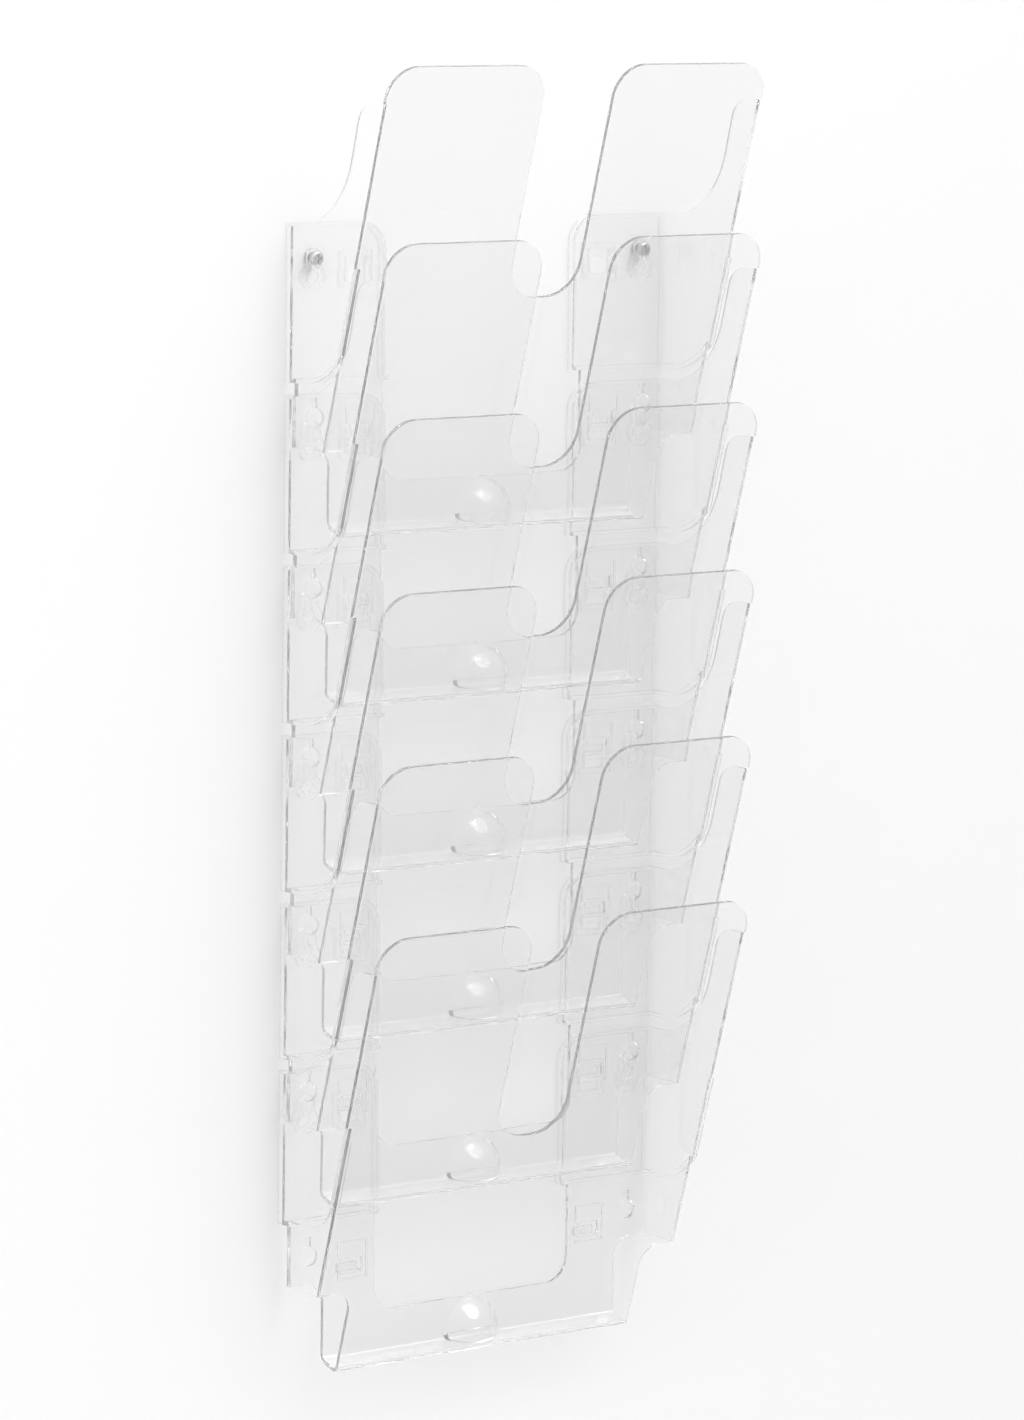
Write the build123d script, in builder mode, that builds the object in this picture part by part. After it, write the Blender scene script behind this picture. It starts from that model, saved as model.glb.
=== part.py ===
"""Wall magazine rack: six clear moulded pockets hooked one below another, hung on two screws.

The wall is the plane Y = 0 and the rack stands out of it towards -Y. +X is to the right, +Z is up.
The origin is on the wall, midway between the two screws. While a pocket is modelled, Z = 0 is the
top edge of its own back plate. All sizes are in millimetres.
"""
import os
from math import atan, cos, radians, sin, tan

from build123d import *

# Overall sizes
POCKETS = 6
PITCH = 91.0  # from one pocket down to the next
WIDTH = 247.0  # over the outer side walls
DEPTH = 96.0  # from the wall to the top of the front plate
WALL = 2.2  # thickness of the moulding
FIT = 0.3  # clearance between nested pockets

# Front plate: two lobes with a notch between them, leaning away from the wall up from the trough
LOBE_TOP = 84.5  # height of the lobes over the back plate's top edge
LOBE_RADIUS = 18.0
FOLD_RADIUS = 2.0  # outside corner between a side wall and the front plate
NOTCH_WIDTH = 46.0
NOTCH_BOTTOM = -39.5
NOTCH_RADIUS = 20.0

# Side walls: their top edge is an S that sweeps up from the wall to the front plate
SIDE_RISE = 65.5
SWEEP_FLAT = 13.0
SWEEP_ANGLE = 75.0
SWEEP_RADIUS = 48.6
CREST_RADIUS = 14.0

# Upper zone: it stands on the wall, and its lower edge repeats the S
STEP_GAP = 7.8  # from the trough nested in this zone down to the zone's foot
LOWER_FLAT = 14.5
PLATE_BACK = 3.3  # gap between the wall and the upper back plate
EAR_EDGE = 62.0  # half of the cut-out's width between the two ears
EAR_RADIUS = 16.0

# Lower zone: stepped forwards and inwards, so that it nests in the pocket below
SHOULDER_RISE = 49.0  # over the trough's underside
CUT_EDGE = 65.5
CUT_RISE = 29.0  # of the cut-out's lower edge, over the trough's underside
CUT_RADIUS = 14.0

# Trough that the magazines stand in
TROUGH_WIDTH = 197.0
TROUGH_BOTTOM = -167.5
TROUGH_DEPTH = 21.35  # from the wall to the foot of the front plate
FLOOR_RISE = 5.0  # the floor climbs by this much from front to back
SHOULDER_RADIUS = 12.0
TROUGH_RADIUS = 4.5
BUMP_RADIUS = 18.5  # outline of the round bump on the trough's back wall
BUMP_HEIGHT = 9.0
BUMP_RISE = 9.5  # of its centre, over the trough's underside

# Keyholes for the wall screws
KEY_X = 107.0
KEY_SLOT = -19.0
KEY_ENTRY = -28.7
SLOT_RADIUS = 2.3
ENTRY_RADIUS = 4.4
SLOT_BOSS = 5.3
ENTRY_BOSS = 7.6

# Windows in the ears, and the hooks that the pocket below hangs on
HOOK_X = 80.25
WINDOW_WIDTH = 14.5
WINDOW_TOP = -22.7
WINDOW_BOTTOM = -32.0
BAR_HEIGHT = 4.3  # strip of plate over the window that rests on the hook
FRAME_RIM = 3.0
HOOK_SIDE_GAP = 0.5
HOOK_REST_GAP = 0.1
HOOK_THICK = 2.0
LIP_HEIGHT = 3.0
LIP_GAP = 0.5
RELIEF_HEIGHT = 6.6  # opening over the hook
PANEL_WIDTH = 19.5
PANEL_HEIGHT = 21.5
PANEL_SILL = 3.0  # panel below the hook
PANEL_RISE = 0.6
PANEL_RIM = 1.1

# Relief holes in the lower zone, in line with the keyholes
RELIEF_HOLE = -103.3
RELIEF_RADIUS = 5.3
RELIEF_SLOT_TOP = -92.5
RELIEF_SLOT_RADIUS = 1.3

# Wall screws and plugs
SHANK_RADIUS = 2.0
HEAD_RADIUS = 3.8
HEAD_HEIGHT = 2.5
HEAD_ROUND = 1.2
SCREW_REACH = 34.0  # into the wall, past the plug's end
SCREW_TIP = 4.0
CROSS_LENGTH = 4.4
CROSS_WIDTH = 1.1
CROSS_DEPTH = 1.5
PLUG_RADIUS = 3.0
PLUG_LENGTH = 30.0
PLUG_BORE_GAP = 0.05
PLUG_TAPER = 0.6
SLIT_WIDTH = 0.8
SLIT_LENGTH = 14.0

# Worked out from the sizes above
LEAN = atan((DEPTH - TROUGH_DEPTH) / (LOBE_TOP - TROUGH_BOTTOM))  # of the front plate, in radians
UPPER_HEIGHT = STEP_GAP - TROUGH_BOTTOM - PITCH
SHOULDER = TROUGH_BOTTOM + SHOULDER_RISE
CUT_BOTTOM = TROUGH_BOTTOM + CUT_RISE
BUMP_CENTRE = TROUGH_BOTTOM + BUMP_RISE
UPPER_FACE = -(PLATE_BACK + WALL)  # front of the upper back plate
LOWER_BACK = UPPER_FACE - FIT
LOWER_FACE = LOWER_BACK - WALL
STEP_IN = WALL + FIT
STEP_FRONT = SIDE_RISE - UPPER_HEIGHT  # where the lower S meets the front plate
OUTER = WIDTH / 2
INNER = OUTER - STEP_IN
TURN_RISE = (SWEEP_RADIUS + CREST_RADIUS) * (1 - cos(radians(SWEEP_ANGLE)))  # climbed in the two arcs
RUN = (SIDE_RISE - TURN_RISE) / sin(radians(SWEEP_ANGLE))
HOOK_TOP = WINDOW_TOP - PITCH - HOOK_REST_GAP
HOOK_WIDTH = WINDOW_WIDTH - 2 * HOOK_SIDE_GAP
LIP_FRONT = LIP_GAP - PLATE_BACK
WINDOW_MIDDLE = (WINDOW_TOP + WINDOW_BOTTOM) / 2
FRAME_HEIGHT = WINDOW_TOP + BAR_HEIGHT - WINDOW_BOTTOM
FRAME_MIDDLE = WINDOW_BOTTOM + FRAME_HEIGHT / 2
RELIEF_SLOT_MIDDLE = (RELIEF_HOLE + RELIEF_SLOT_TOP) / 2
PANEL_MIDDLE = HOOK_TOP - HOOK_THICK - PANEL_SILL + PANEL_HEIGHT / 2
BUMP_SPHERE = (BUMP_RADIUS**2 + BUMP_HEIGHT**2) / (2 * BUMP_HEIGHT)
HEAD_BACK = UPPER_FACE - FIT
HEAD_FRONT = HEAD_BACK - HEAD_HEIGHT
FAR = 300.0  # past the pocket on every side
TROUGH_JOIN = SHOULDER - 2 * SHOULDER_RADIUS  # where the plates run into the trough


def front_y(z):
    """Y of the front plate's outer face at height z."""
    return -(DEPTH - (LOBE_TOP - z) * tan(LEAN))


def edge_line(z, flat, inset=0.0):
    """Draw the S-shaped side edge, from the wall towards the front, in the YZ plane."""
    start = Line((0, z + inset), (-flat, z + inset))
    sweep = JernArc(start @ 1, start % 1, SWEEP_RADIUS - inset, -SWEEP_ANGLE)
    rise = Line(sweep @ 1, sweep @ 1 + RUN * (sweep % 1))
    crest = JernArc(rise @ 1, rise % 1, CREST_RADIUS + inset, SWEEP_ANGLE)
    return Line(crest @ 1, (-FAR, (crest @ 1).Y))


def side_region(*points):
    """Polygon in the side plane, whose X and Y are the row's Y and Z."""
    with BuildSketch() as region:
        with BuildLine():
            Polyline(*points, close=True)
        make_face()
    return region.sketch


def under_edge(z, flat, inset=0.0):
    """Everything in the side plane below an S-shaped edge that starts at height z."""
    with BuildSketch() as region:
        with BuildLine():
            edge = edge_line(z, flat, inset)
            Polyline(edge @ 1, (-FAR, -2 * FAR), (0, -2 * FAR), (0, z + inset))
        make_face()
    return region.sketch


ahead = side_region((front_y(FAR), FAR), (front_y(-FAR), -FAR), (-9 * FAR, -FAR), (-9 * FAR, FAR))
below_step = under_edge(-UPPER_HEIGHT, LOWER_FLAT)
below_joggle = under_edge(-UPPER_HEIGHT, LOWER_FLAT, WALL)


front_plane = Plane(
    origin=(0, front_y(0), 0),
    x_dir=(1, 0, 0),
    z_dir=(0, -cos(LEAN), -sin(LEAN)),
)


def along_front(z):
    """Distance up the leaning front plate of a point at height z."""
    return z / cos(LEAN)


def fold_cutter(side, half_width, low, high):
    """Bar that rounds the outside corner at x = side * half_width from height low to high."""
    section = Plane(
        origin=(side * half_width, front_y(low), low),
        x_dir=(1, 0, 0),
        z_dir=(0, -sin(LEAN), cos(LEAN)),
    )
    with BuildPart() as bar:
        with BuildSketch(section):
            Rectangle(2 * FOLD_RADIUS, 2 * FOLD_RADIUS)
            with Locations((-side * FOLD_RADIUS, FOLD_RADIUS)):
                Circle(FOLD_RADIUS, mode=Mode.SUBTRACT)
        extrude(amount=along_front(high - low))
    return bar.part


def back_plane(y):
    """Plane facing the wall at Y = y, with its X along the row's X and its Y up."""
    return Plane(origin=(0, y, 0), x_dir=(1, 0, 0), z_dir=(0, -1, 0))


with BuildSketch() as ear_pair:
    with Locations((0, -UPPER_HEIGHT / 2)):
        Rectangle(2 * OUTER, UPPER_HEIGHT)
        Rectangle(2 * EAR_EDGE, UPPER_HEIGHT, mode=Mode.SUBTRACT)
    fillet(ear_pair.vertices().group_by(Axis.Y)[-1].sort_by(Axis.X)[1:3], EAR_RADIUS)
ears = ear_pair.sketch

with BuildSketch() as hollow_pair:
    for side in (-1, 1):
        with Locations((side * (OUTER + EAR_EDGE) / 2, -UPPER_HEIGHT / 2)):
            Rectangle(OUTER - EAR_EDGE - 2 * WALL, UPPER_HEIGHT - 2 * WALL)
    with Locations((0, -UPPER_HEIGHT + WALL)):
        Rectangle(2 * (OUTER - WALL), 2 * WALL)
        Rectangle(2 * (EAR_EDGE + WALL), 2 * WALL, mode=Mode.SUBTRACT)
    fillet(hollow_pair.vertices().group_by(Axis.Y)[-1].sort_by(Axis.X)[1:3], EAR_RADIUS - WALL)
ear_hollows = hollow_pair.sketch

with BuildSketch() as trough_outer:
    with BuildLine():
        Polyline(
            (LOWER_BACK, 0),
            (LOWER_BACK, TROUGH_BOTTOM + FLOOR_RISE),
            (front_y(TROUGH_BOTTOM), TROUGH_BOTTOM),
            (front_y(0), 0),
            close=True,
        )
    make_face()
    fillet(trough_outer.vertices().group_by(Axis.Y)[0:2], TROUGH_RADIUS)


def trough_wall(top):
    """Section of the trough's wall below height top."""
    with BuildSketch() as section:
        add(trough_outer.sketch)
        offset(amount=-WALL, mode=Mode.SUBTRACT)
        add(side_region((0, FAR), (0, top), (-FAR, top), (-FAR, FAR)), mode=Mode.SUBTRACT)
    return section.sketch


def keyhole(side, slot_radius, entry_radius):
    """Keyhole outline on one side: a round entry with a slot above it."""
    with BuildSketch() as outline:
        with Locations((side * KEY_X, KEY_ENTRY)):
            Circle(entry_radius)
        with Locations((side * KEY_X, KEY_SLOT)):
            Circle(slot_radius)
        with Locations((side * KEY_X, (KEY_SLOT + KEY_ENTRY) / 2)):
            Rectangle(2 * slot_radius, KEY_SLOT - KEY_ENTRY)
    return outline.sketch


def bump_section(inset):
    """Half of the bump's round section, in the XY plane, made smaller all over by inset."""
    centre_y = LOWER_FACE - BUMP_HEIGHT + BUMP_SPHERE
    with BuildSketch() as section:
        with Locations((0, centre_y)):
            Circle(BUMP_SPHERE - inset)
        with Locations((0, LOWER_BACK + FAR / 2)):
            Rectangle(FAR, FAR, mode=Mode.SUBTRACT)
        with Locations((-FAR / 2, 0)):
            Rectangle(FAR, 2 * FAR, mode=Mode.SUBTRACT)
    return section.sketch


# One pocket
with BuildPart() as pocket:
    # outer side walls, between the two S edges
    with BuildSketch(Plane.YZ.offset(OUTER - WALL)):
        add(under_edge(0, SWEEP_FLAT))
        add(below_step, mode=Mode.SUBTRACT)
        add(ahead, mode=Mode.SUBTRACT)
    extrude(amount=WALL)

    # joggle along the lower S, from the outer side wall in to the inner one
    with BuildSketch(Plane.YZ.offset(INNER - WALL)):
        add(side_region((-PLATE_BACK, 0), (-PLATE_BACK, -FAR), (-FAR, -FAR), (-FAR, 0)))
        add(below_joggle, mode=Mode.INTERSECT)
        add(below_step, mode=Mode.SUBTRACT)
        add(ahead, mode=Mode.SUBTRACT)
    extrude(amount=WALL + STEP_IN)

    # inner side walls, down to the shoulder
    with BuildSketch(Plane.YZ.offset(INNER - WALL)):
        add(side_region((LOWER_BACK, 0), (LOWER_BACK, SHOULDER), (-FAR, SHOULDER), (-FAR, 0)))
        add(below_joggle, mode=Mode.INTERSECT)
        add(ahead, mode=Mode.SUBTRACT)
    extrude(amount=WALL)
    mirror(about=Plane.YZ)

    # front plate, full width above the joggle and narrower below it
    with BuildSketch(front_plane) as front:
        with BuildLine():
            Polyline(
                (OUTER, along_front(LOBE_TOP)),
                (NOTCH_WIDTH / 2, along_front(LOBE_TOP)),
                (NOTCH_WIDTH / 2, along_front(NOTCH_BOTTOM)),
                (-NOTCH_WIDTH / 2, along_front(NOTCH_BOTTOM)),
                (-NOTCH_WIDTH / 2, along_front(LOBE_TOP)),
                (-OUTER, along_front(LOBE_TOP)),
                (-OUTER, along_front(SHOULDER)),
                (-TROUGH_WIDTH / 2, along_front(SHOULDER)),
                (-TROUGH_WIDTH / 2, along_front(TROUGH_JOIN)),
                (TROUGH_WIDTH / 2, along_front(TROUGH_JOIN)),
                (TROUGH_WIDTH / 2, along_front(SHOULDER)),
                (OUTER, along_front(SHOULDER)),
                close=True,
            )
        make_face()
        fillet(front.vertices().group_by(Axis.Y)[-1], LOBE_RADIUS)
        fillet(front.vertices().group_by(Axis.Y)[2], NOTCH_RADIUS)
        fillet(front.vertices().group_by(Axis.Y)[1].sort_by(Axis.X)[1:3], SHOULDER_RADIUS)
    extrude(amount=-WALL)
    with BuildSketch(Plane.YZ.offset(INNER)):
        add(below_step)
    extrude(amount=FAR, mode=Mode.SUBTRACT)
    with BuildSketch(Plane.YZ.offset(-INNER)):
        add(below_step)
    extrude(amount=-FAR, mode=Mode.SUBTRACT)

    # rounded outside corners, above the step and below it
    for side in (-1, 1):
        add(fold_cutter(side, OUTER, STEP_FRONT - FOLD_RADIUS, SIDE_RISE), mode=Mode.SUBTRACT)
        add(fold_cutter(side, INNER, SHOULDER - FOLD_RADIUS, STEP_FRONT - FOLD_RADIUS), mode=Mode.SUBTRACT)

    # upper back plate: two ears beside a cut-out, with a rim behind them that stands on the wall
    with BuildSketch(back_plane(0)):
        add(ears)
    extrude(amount=PLATE_BACK + WALL)
    with BuildSketch(back_plane(0)):
        add(ear_hollows)
    extrude(amount=PLATE_BACK, mode=Mode.SUBTRACT)

    # joggle along the foot of the ears, and the lower back plate that it leads to
    with BuildSketch(back_plane(-PLATE_BACK)):
        with Locations((0, WALL / 2 - UPPER_HEIGHT)):
            Rectangle(2 * INNER, WALL)
            Rectangle(2 * EAR_EDGE, WALL, mode=Mode.SUBTRACT)
    extrude(amount=WALL + STEP_IN)
    with BuildSketch(back_plane(LOWER_BACK)) as lower_plate:
        with BuildLine():
            Polyline(
                (INNER, WALL - UPPER_HEIGHT),
                (CUT_EDGE, WALL - UPPER_HEIGHT),
                (CUT_EDGE, CUT_BOTTOM),
                (-CUT_EDGE, CUT_BOTTOM),
                (-CUT_EDGE, WALL - UPPER_HEIGHT),
                (-INNER, WALL - UPPER_HEIGHT),
                (-INNER, SHOULDER),
                (-TROUGH_WIDTH / 2, SHOULDER),
                (-TROUGH_WIDTH / 2, TROUGH_JOIN),
                (TROUGH_WIDTH / 2, TROUGH_JOIN),
                (TROUGH_WIDTH / 2, SHOULDER),
                (INNER, SHOULDER),
                close=True,
            )
        make_face()
        fillet(lower_plate.vertices().group_by(Axis.Y)[2].sort_by(Axis.X)[1:3], SHOULDER_RADIUS)
        fillet(lower_plate.vertices().group_by(Axis.Y)[1], CUT_RADIUS)
    extrude(amount=WALL)

    # trough: open at both ends
    with BuildSketch(Plane.YZ):
        add(trough_wall(TROUGH_JOIN + WALL))
    extrude(amount=TROUGH_WIDTH / 2, both=True)

    # round bump on the trough's back wall, which keeps a thin magazine upright
    with BuildSketch(Plane.XY.offset(BUMP_CENTRE)):
        add(bump_section(0))
    revolve(axis=Axis((0, 0, BUMP_CENTRE), (0, 1, 0)))
    with BuildSketch(Plane.XY.offset(BUMP_CENTRE)):
        add(bump_section(WALL))
    revolve(axis=Axis((0, 0, BUMP_CENTRE), (0, 1, 0)), mode=Mode.SUBTRACT)
    with BuildSketch(Plane.YZ):
        add(side_region((0, TROUGH_JOIN), (0, -FAR), (-FAR, -FAR), (-FAR, TROUGH_JOIN)))
        add(trough_outer.sketch, mode=Mode.SUBTRACT)
    extrude(amount=2 * BUMP_RADIUS, both=True, mode=Mode.SUBTRACT)
    with BuildSketch(Plane.YZ):
        add(trough_wall(TROUGH_BOTTOM + FLOOR_RISE + TROUGH_RADIUS))
    extrude(amount=TROUGH_WIDTH / 2, both=True)

    # keyholes in the ears, each with a boss that reaches back to the wall
    for side in (-1, 1):
        with BuildSketch(back_plane(0)):
            add(keyhole(side, SLOT_BOSS, ENTRY_BOSS))
        extrude(amount=PLATE_BACK)
        with BuildSketch(back_plane(0)):
            add(keyhole(side, SLOT_RADIUS, ENTRY_RADIUS))
        extrude(amount=PLATE_BACK + WALL, mode=Mode.SUBTRACT)

    # windows in the ears, framed at the back, with a bar over each
    with BuildSketch(back_plane(0)):
        with Locations((-HOOK_X, FRAME_MIDDLE), (HOOK_X, FRAME_MIDDLE)):
            Rectangle(WINDOW_WIDTH + 2 * FRAME_RIM, FRAME_HEIGHT + 2 * FRAME_RIM)
            Rectangle(WINDOW_WIDTH, FRAME_HEIGHT, mode=Mode.SUBTRACT)
    extrude(amount=PLATE_BACK)
    with BuildSketch(back_plane(0)):
        with Locations((-HOOK_X, WINDOW_MIDDLE), (HOOK_X, WINDOW_MIDDLE)):
            Rectangle(WINDOW_WIDTH, WINDOW_TOP - WINDOW_BOTTOM)
    extrude(amount=PLATE_BACK + WALL, mode=Mode.SUBTRACT)

    # hooks at the foot of the lower zone: a shelf with a lip behind the next pocket's bar
    with BuildSketch(Plane.YZ.offset(HOOK_X - HOOK_WIDTH / 2)):
        add(side_region(
            (LOWER_BACK, HOOK_TOP),
            (LIP_FRONT, HOOK_TOP),
            (LIP_FRONT, HOOK_TOP + LIP_HEIGHT),
            (LIP_FRONT + HOOK_THICK, HOOK_TOP + LIP_HEIGHT),
            (LIP_FRONT + HOOK_THICK, HOOK_TOP - HOOK_THICK),
            (LOWER_BACK, HOOK_TOP - HOOK_THICK),
        ))
    hook = extrude(amount=HOOK_WIDTH)
    mirror(hook, about=Plane.YZ)
    with BuildSketch(back_plane(LOWER_BACK)):
        with Locations((-HOOK_X, HOOK_TOP + RELIEF_HEIGHT / 2), (HOOK_X, HOOK_TOP + RELIEF_HEIGHT / 2)):
            Rectangle(HOOK_WIDTH, RELIEF_HEIGHT)
    extrude(amount=WALL, mode=Mode.SUBTRACT)
    with BuildSketch(back_plane(LOWER_FACE)):
        with Locations((-HOOK_X, PANEL_MIDDLE), (HOOK_X, PANEL_MIDDLE)):
            Rectangle(PANEL_WIDTH, PANEL_HEIGHT)
            Rectangle(PANEL_WIDTH - 2 * PANEL_RIM, PANEL_HEIGHT - 2 * PANEL_RIM, mode=Mode.SUBTRACT)
    extrude(amount=PANEL_RISE)

    # relief holes under the step, in line with the keyholes
    with BuildSketch(back_plane(LOWER_BACK)):
        with Locations((-KEY_X, RELIEF_HOLE), (KEY_X, RELIEF_HOLE)):
            Circle(RELIEF_RADIUS)
        with Locations((-KEY_X, RELIEF_SLOT_MIDDLE), (KEY_X, RELIEF_SLOT_MIDDLE)):
            Rectangle(2 * RELIEF_SLOT_RADIUS, RELIEF_SLOT_TOP - RELIEF_HOLE)
    extrude(amount=WALL, mode=Mode.SUBTRACT)


# Wall screw: pan head with a cross recess, shank into the wall
with BuildPart() as screw:
    with BuildSketch(Plane.YZ) as outline:
        with BuildLine():
            Polyline(
                (HEAD_FRONT, 0),
                (HEAD_FRONT, HEAD_RADIUS),
                (HEAD_BACK, HEAD_RADIUS),
                (HEAD_BACK, SHANK_RADIUS),
                (SCREW_REACH - SCREW_TIP, SHANK_RADIUS),
                (SCREW_REACH, 0),
                close=True,
            )
        make_face()
        fillet(outline.vertices().sort_by_distance((HEAD_FRONT, HEAD_RADIUS))[0], HEAD_ROUND)
    revolve(axis=Axis.Y)
    with BuildSketch(back_plane(HEAD_FRONT)):
        Rectangle(CROSS_LENGTH, CROSS_WIDTH)
        Rectangle(CROSS_WIDTH, CROSS_LENGTH)
    extrude(amount=-CROSS_DEPTH, mode=Mode.SUBTRACT)

# Wall plug: a sleeve, slit at its far end so that the screw spreads it
with BuildPart() as plug:
    with BuildSketch(Plane.YZ) as sleeve:
        with BuildLine():
            Polyline(
                (0, SHANK_RADIUS + PLUG_BORE_GAP),
                (0, PLUG_RADIUS),
                (PLUG_LENGTH - PLUG_TAPER, PLUG_RADIUS),
                (PLUG_LENGTH, PLUG_RADIUS - PLUG_TAPER),
                (PLUG_LENGTH, SHANK_RADIUS + PLUG_BORE_GAP),
                close=True,
            )
        make_face()
    revolve(axis=Axis.Y)
    with BuildSketch(back_plane(PLUG_LENGTH)):
        Rectangle(3 * PLUG_RADIUS, SLIT_WIDTH)
        Rectangle(SLIT_WIDTH, 3 * PLUG_RADIUS)
    extrude(amount=SLIT_LENGTH, mode=Mode.SUBTRACT)


def export(part, name):
    """Write one named piece."""
    part.label = name
    export_step(part, "parts/" + name + ".step")


os.makedirs("parts", exist_ok=True)
for level in range(POCKETS):
    export(Pos(0, 0, -KEY_SLOT - level * PITCH) * pocket.part, "pocket_" + str(level + 1))
for hand, side in (("left", -1), ("right", 1)):
    export(Pos(side * KEY_X, 0, 0) * screw.part, "wall_screw_" + hand)
    export(Pos(side * KEY_X, 0, 0) * plug.part, "wall_plug_" + hand)
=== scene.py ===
"""Looks for the wall magazine rack: clear moulded pockets on a white wall, in soft studio light."""

from math import cos, pi, radians, sin

import bpy
from mathutils import Matrix, Vector


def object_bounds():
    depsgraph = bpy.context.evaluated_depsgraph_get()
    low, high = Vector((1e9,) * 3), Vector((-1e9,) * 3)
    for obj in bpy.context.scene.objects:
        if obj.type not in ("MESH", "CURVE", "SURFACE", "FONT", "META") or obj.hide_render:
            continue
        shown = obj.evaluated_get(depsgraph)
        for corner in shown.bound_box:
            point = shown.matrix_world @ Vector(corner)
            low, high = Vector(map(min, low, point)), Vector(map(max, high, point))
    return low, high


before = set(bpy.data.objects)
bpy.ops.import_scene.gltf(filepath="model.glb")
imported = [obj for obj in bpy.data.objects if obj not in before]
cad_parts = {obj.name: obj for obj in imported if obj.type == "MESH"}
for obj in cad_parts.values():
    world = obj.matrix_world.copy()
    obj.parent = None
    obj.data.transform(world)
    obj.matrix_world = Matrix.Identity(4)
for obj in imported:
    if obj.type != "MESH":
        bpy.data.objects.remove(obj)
cad_low, cad_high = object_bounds()
scene = bpy.context.scene
scene.view_settings.view_transform = "Standard"

# Light paths: light caught in a clear wall bounces along it many times
CLEAR_BOUNCES = 160
DIFFUSE_BOUNCES = 3
TRANSPARENT_BOUNCES = 64

# Camera: place in metres, angles in degrees, lens in millimetres
CAMERA_PLACE = Vector((-1.864, -2.5773, 0.2064))
CAMERA_YAW = 36.293
CAMERA_PITCH = -8.153
CAMERA_ROLL = 0.812
CAMERA_LENS = 149.32

COVE = 0.3  # radius of the curve between wall and floor
COVE_STEPS = 12
FLOOR = cad_low.z - COVE - 0.1
WALL_HEIGHT = 4.0
STAGE_SIDE = 6.0
WALL_GREY = 0.9
FLOOR_GREY = 0.46

PLASTIC_IOR = 1.59
PLASTIC_CLEARNESS = 0.96
LIGHT_KEPT = 0.988  # of the light that meets a surface of the plastic head on
GRAZING_LOSS = 8.0  # power: the higher, the flatter light has to strike to be lost
WELD_GAP = 1e-6
SMOOTH_ANGLE = 25  # degrees: edges that turn by less are shaded smooth

DOME_LOW, DOME_LOW_GREY = 0.3, 0.5
DOME_HIGH, DOME_HIGH_GREY = 0.75, 1.0
DOME_STRENGTH = 0.83


def light_paths():
    """How many times light may bounce. Caustics are left out: clear_plastic lets the light through."""
    cycles = scene.cycles
    cycles.max_bounces = CLEAR_BOUNCES
    cycles.transmission_bounces = CLEAR_BOUNCES
    cycles.glossy_bounces = CLEAR_BOUNCES
    cycles.diffuse_bounces = DIFFUSE_BOUNCES
    cycles.transparent_max_bounces = TRANSPARENT_BOUNCES
    cycles.caustics_reflective = False
    cycles.caustics_refractive = False


light_paths()


def grey(level):
    return (level, level, level, 1)


class Nodes:
    """A material's or world's node tree, with short calls to add nodes and link them."""

    def __init__(self, owner):
        owner.use_nodes = True
        self.tree = owner.node_tree
        self.tree.nodes.clear()

    def add(self, kind, **settings):
        node = self.tree.nodes.new("ShaderNode" + kind)
        for name, value in settings.items():
            setattr(node, name, value)
        return node

    def link(self, source, target):
        self.tree.links.new(source, target)


def math_node(n, operation, a, b):
    """A Math node whose inputs are sockets or numbers."""
    node = n.add("Math", operation=operation)
    for socket, value in zip(node.inputs, (a, b)):
        if isinstance(value, (int, float)):
            socket.default_value = value
        else:
            n.link(value, socket)
    return node.outputs[0]


def noise(n, vector, scale, detail=3.0):
    node = n.add("TexNoise")
    node.inputs["Scale"].default_value = scale
    node.inputs["Detail"].default_value = detail
    n.link(vector, node.inputs["Vector"])
    return node.outputs["Fac"]


def spread(n, value, low, high):
    """A 0 to 1 value stretched to low to high."""
    node = n.add("MapRange")
    node.inputs["To Min"].default_value = low
    node.inputs["To Max"].default_value = high
    n.link(value, node.inputs["Value"])
    return node.outputs["Result"]


def clear_plastic():
    """Clear polystyrene: refracts, with the faint waves of a moulded surface, and lets light through."""
    material = bpy.data.materials.new("clear_polystyrene")
    n = Nodes(material)
    place = n.add("TexCoord").outputs["Object"]
    shader = n.add("BsdfPrincipled")
    shader.inputs["Base Color"].default_value = (0.985, 0.987, 0.985, 1)
    shader.inputs["Transmission Weight"].default_value = PLASTIC_CLEARNESS
    shader.inputs["IOR"].default_value = PLASTIC_IOR
    n.link(spread(n, noise(n, place, 60.0), 0.0, 0.04), shader.inputs["Roughness"])
    bump = n.add("Bump")
    bump.inputs["Strength"].default_value = 0.05
    bump.inputs["Distance"].default_value = 0.001
    n.link(noise(n, place, 14.0, 2.0), bump.inputs["Height"])
    n.link(bump.outputs["Normal"], shader.inputs["Normal"])
    # light that reaches the wall through the plastic: less of it the flatter it strikes
    facing = n.add("LayerWeight")
    facing.inputs["Blend"].default_value = 0.5
    lost = math_node(n, "POWER", facing.outputs["Facing"], GRAZING_LOSS)
    through = n.add("BsdfTransparent")
    tint = n.add("MixRGB")
    tint.inputs["Color1"].default_value = grey(LIGHT_KEPT)
    tint.inputs["Color2"].default_value = grey(0.0)
    n.link(lost, tint.inputs["Fac"])
    n.link(tint.outputs["Color"], through.inputs["Color"])
    path = n.add("LightPath")
    lighting = math_node(n, "MAXIMUM", path.outputs["Is Shadow Ray"], path.outputs["Is Diffuse Ray"])
    mix = n.add("MixShader")
    n.link(lighting, mix.inputs["Fac"])
    n.link(shader.outputs["BSDF"], mix.inputs[1])
    n.link(through.outputs["BSDF"], mix.inputs[2])
    n.link(mix.outputs["Shader"], n.add("OutputMaterial").inputs["Surface"])
    return material


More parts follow.
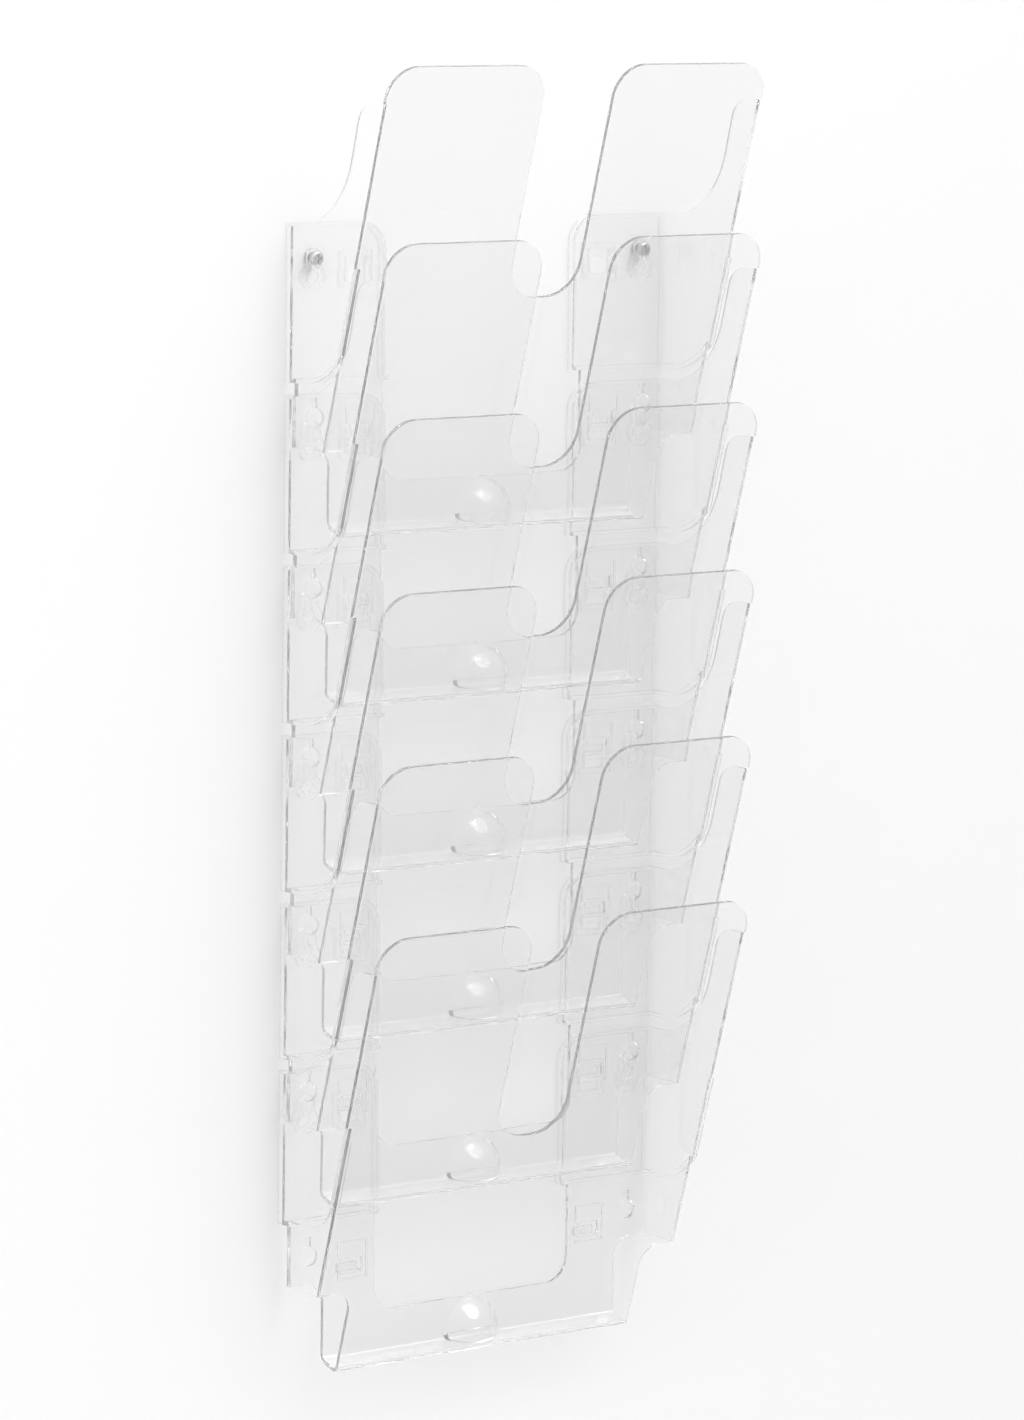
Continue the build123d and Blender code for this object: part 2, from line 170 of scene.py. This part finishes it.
def zinc():
    """Bright zinc plate with fine turning marks and a little clouding."""
    material = bpy.data.materials.new("zinc_plate")
    n = Nodes(material)
    place = n.add("TexCoord").outputs["Object"]
    shader = n.add("BsdfPrincipled")
    shader.inputs["Metallic"].default_value = 1.0
    ramp = n.add("ValToRGB")
    ramp.color_ramp.elements[0].color = (0.42, 0.43, 0.45, 1)
    ramp.color_ramp.elements[1].color = (0.72, 0.73, 0.75, 1)
    n.link(noise(n, place, 900.0), ramp.inputs["Fac"])
    n.link(ramp.outputs["Color"], shader.inputs["Base Color"])
    n.link(spread(n, noise(n, place, 2500.0), 0.18, 0.4), shader.inputs["Roughness"])
    n.link(shader.outputs["BSDF"], n.add("OutputMaterial").inputs["Surface"])
    return material


def nylon():
    """Satin grey nylon with a fine moulded grain."""
    material = bpy.data.materials.new("grey_nylon")
    n = Nodes(material)
    place = n.add("TexCoord").outputs["Object"]
    shader = n.add("BsdfPrincipled")
    ramp = n.add("ValToRGB")
    ramp.color_ramp.elements[0].color = (0.24, 0.25, 0.26, 1)
    ramp.color_ramp.elements[1].color = (0.32, 0.33, 0.34, 1)
    n.link(noise(n, place, 700.0), ramp.inputs["Fac"])
    n.link(ramp.outputs["Color"], shader.inputs["Base Color"])
    n.link(spread(n, noise(n, place, 3000.0), 0.4, 0.6), shader.inputs["Roughness"])
    bump = n.add("Bump")
    bump.inputs["Strength"].default_value = 0.2
    bump.inputs["Distance"].default_value = 0.0003
    n.link(noise(n, place, 4000.0), bump.inputs["Height"])
    n.link(bump.outputs["Normal"], shader.inputs["Normal"])
    n.link(shader.outputs["BSDF"], n.add("OutputMaterial").inputs["Surface"])
    return material


def backdrop_material():
    """Matte paint, white on the wall and pale grey on the floor. It is seen only from its front,
    so that views from behind the wall see the rack."""
    material = bpy.data.materials.new("pale_paint")
    n = Nodes(material)
    height = n.add("SeparateXYZ")
    n.link(n.add("TexCoord").outputs["Object"], height.inputs["Vector"])
    blend = n.add("MapRange", interpolation_type="SMOOTHSTEP")
    blend.inputs["From Min"].default_value = FLOOR
    blend.inputs["From Max"].default_value = FLOOR + COVE
    n.link(height.outputs["Z"], blend.inputs["Value"])
    ramp = n.add("ValToRGB")
    ramp.color_ramp.elements[0].color = grey(FLOOR_GREY)
    ramp.color_ramp.elements[1].color = grey(WALL_GREY)
    n.link(blend.outputs["Result"], ramp.inputs["Fac"])
    shader = n.add("BsdfDiffuse")
    n.link(ramp.outputs["Color"], shader.inputs["Color"])
    mix = n.add("MixShader")
    n.link(n.add("NewGeometry").outputs["Backfacing"], mix.inputs["Fac"])
    n.link(shader.outputs["BSDF"], mix.inputs[1])
    n.link(n.add("BsdfTransparent").outputs["BSDF"], mix.inputs[2])
    n.link(mix.outputs["Shader"], n.add("OutputMaterial").inputs["Surface"])
    return material


def smoothing():
    """Node group that welds a CAD mesh's faces and shades its curved ones smooth."""
    group = bpy.data.node_groups.new("smooth_curves", "GeometryNodeTree")
    group.interface.new_socket("Geometry", in_out="INPUT", socket_type="NodeSocketGeometry")
    group.interface.new_socket("Geometry", in_out="OUTPUT", socket_type="NodeSocketGeometry")
    nodes, links = group.nodes, group.links
    source = nodes.new("NodeGroupInput")
    weld = nodes.new("GeometryNodeMergeByDistance")
    weld.inputs["Distance"].default_value = WELD_GAP
    angle = nodes.new("GeometryNodeInputMeshEdgeAngle")
    gentle = nodes.new("FunctionNodeCompare")
    gentle.operation = "LESS_THAN"
    gentle.inputs["B"].default_value = radians(SMOOTH_ANGLE)
    faces = nodes.new("GeometryNodeSetShadeSmooth")
    edges = nodes.new("GeometryNodeSetShadeSmooth")
    edges.domain = "EDGE"
    out = nodes.new("NodeGroupOutput")
    links.new(source.outputs[0], weld.inputs["Geometry"])
    links.new(weld.outputs["Geometry"], faces.inputs["Geometry"])
    links.new(faces.outputs["Geometry"], edges.inputs["Geometry"])
    links.new(angle.outputs["Unsigned Angle"], gentle.inputs["A"])
    links.new(gentle.outputs["Result"], edges.inputs["Shade Smooth"])
    links.new(edges.outputs["Geometry"], out.inputs[0])
    return group


def dress(node, material, group):
    """Give a CAD node its material and smooth shading."""
    node.data.materials.clear()
    node.data.materials.append(material)
    node.modifiers.new("smooth", "NODES").node_group = group


smooth = smoothing()
finishes = {"pocket": clear_plastic(), "wall_screw": zinc(), "wall_plug": nylon()}
for name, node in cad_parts.items():
    dress(node, finishes[name.rsplit("_", 1)[0]], smooth)


def backdrop():
    """Wall, cove and floor in one sheet, with a strip of floor behind the wall."""
    profile = [(0.0, FLOOR + WALL_HEIGHT), (0.0, FLOOR + COVE)]
    for step in range(1, COVE_STEPS + 1):
        turn = step / COVE_STEPS * pi / 2
        profile.append((-COVE + COVE * cos(turn), FLOOR + COVE - COVE * sin(turn)))
    profile.append((-STAGE_SIDE, FLOOR))
    points = [(x, y, z) for y, z in profile for x in (-STAGE_SIDE, STAGE_SIDE)]
    faces = [(2 * k, 2 * k + 2, 2 * k + 3, 2 * k + 1) for k in range(len(profile) - 1)]
    start = len(points)
    points += [(x, y, FLOOR) for y in (0.0, STAGE_SIDE) for x in (-STAGE_SIDE, STAGE_SIDE)]
    faces.append((start, start + 1, start + 3, start + 2))
    mesh = bpy.data.meshes.new("backdrop")
    mesh.from_pydata(points, [], faces)
    mesh.shade_smooth()
    sheet = bpy.data.objects.new("backdrop", mesh)
    scene.collection.objects.link(sheet)
    mesh.materials.append(backdrop_material())


backdrop()


def aimed(name, data, place, target):
    """Put a lamp or the like at place, pointing at target."""
    thing = bpy.data.objects.new(name, data)
    thing.location = place
    thing.rotation_mode = "QUATERNION"
    thing.rotation_quaternion = (Vector(target) - Vector(place)).to_track_quat("-Z", "Y")
    scene.collection.objects.link(thing)
    return thing


def soft_sun(name, strength, angle, place):
    data = bpy.data.lights.new(name, "SUN")
    data.energy = strength
    data.angle = radians(angle)
    aimed(name, data, place, (0, 0, 0))


def softbox(name, power, width, height, place, target):
    data = bpy.data.lights.new(name, "AREA")
    data.shape = "RECTANGLE"
    data.size = width
    data.size_y = height
    data.energy = power
    aimed(name, data, place, target)


# lamps: strength or watts, angle or width and height, place, and what a softbox points at
soft_sun("key", 1.36, 40, (0.95, -1.8, 1.85))
softbox("top", 4.5, 0.8, 0.5, (0.2, -1.1, 1.2), (0, 0, 0))
softbox("window", 6, 0.3, 0.4, (-2.1, -1.3, 1.5), (0, 0, -0.3))
softbox("strip", 2.5, 0.15, 1.1, (-1.35, -0.3, -0.5), (-0.1, -0.1, -0.2))

def studio():
    """World: a bright dome that falls off a little towards the floor."""
    world = bpy.data.worlds.new("studio")
    scene.world = world
    n = Nodes(world)
    split = n.add("SeparateXYZ")
    n.link(n.add("TexCoord").outputs["Generated"], split.inputs["Vector"])
    dome = n.add("ValToRGB")
    dome.color_ramp.elements[0].position = DOME_LOW
    dome.color_ramp.elements[0].color = grey(DOME_LOW_GREY)
    dome.color_ramp.elements[1].position = DOME_HIGH
    dome.color_ramp.elements[1].color = grey(DOME_HIGH_GREY)
    height = n.add("MapRange")
    height.inputs["From Min"].default_value = -1.0
    n.link(split.outputs["Z"], height.inputs["Value"])
    n.link(height.outputs["Result"], dome.inputs["Fac"])
    sky = n.add("Background")
    sky.inputs["Strength"].default_value = DOME_STRENGTH
    n.link(dome.outputs["Color"], sky.inputs["Color"])
    n.link(sky.outputs["Background"], n.add("OutputWorld").inputs["Surface"])


studio()


def camera():
    """The photograph's view."""
    yaw, pitch, roll = radians(CAMERA_YAW), radians(CAMERA_PITCH), radians(CAMERA_ROLL)
    forward = Vector((sin(yaw) * cos(pitch), cos(yaw) * cos(pitch), sin(pitch)))
    level = Vector((cos(yaw), -sin(yaw), 0))
    upright = level.cross(forward)
    right = cos(roll) * level + sin(roll) * upright
    up = cos(roll) * upright - sin(roll) * level
    data = bpy.data.cameras.new("camera")
    data.lens = CAMERA_LENS
    data.clip_end = 50
    view = bpy.data.objects.new("camera", data)
    turn = Matrix((right, up, -forward)).transposed()
    view.matrix_world = Matrix.Translation(CAMERA_PLACE) @ turn.to_4x4()
    scene.collection.objects.link(view)
    scene.camera = view


camera()
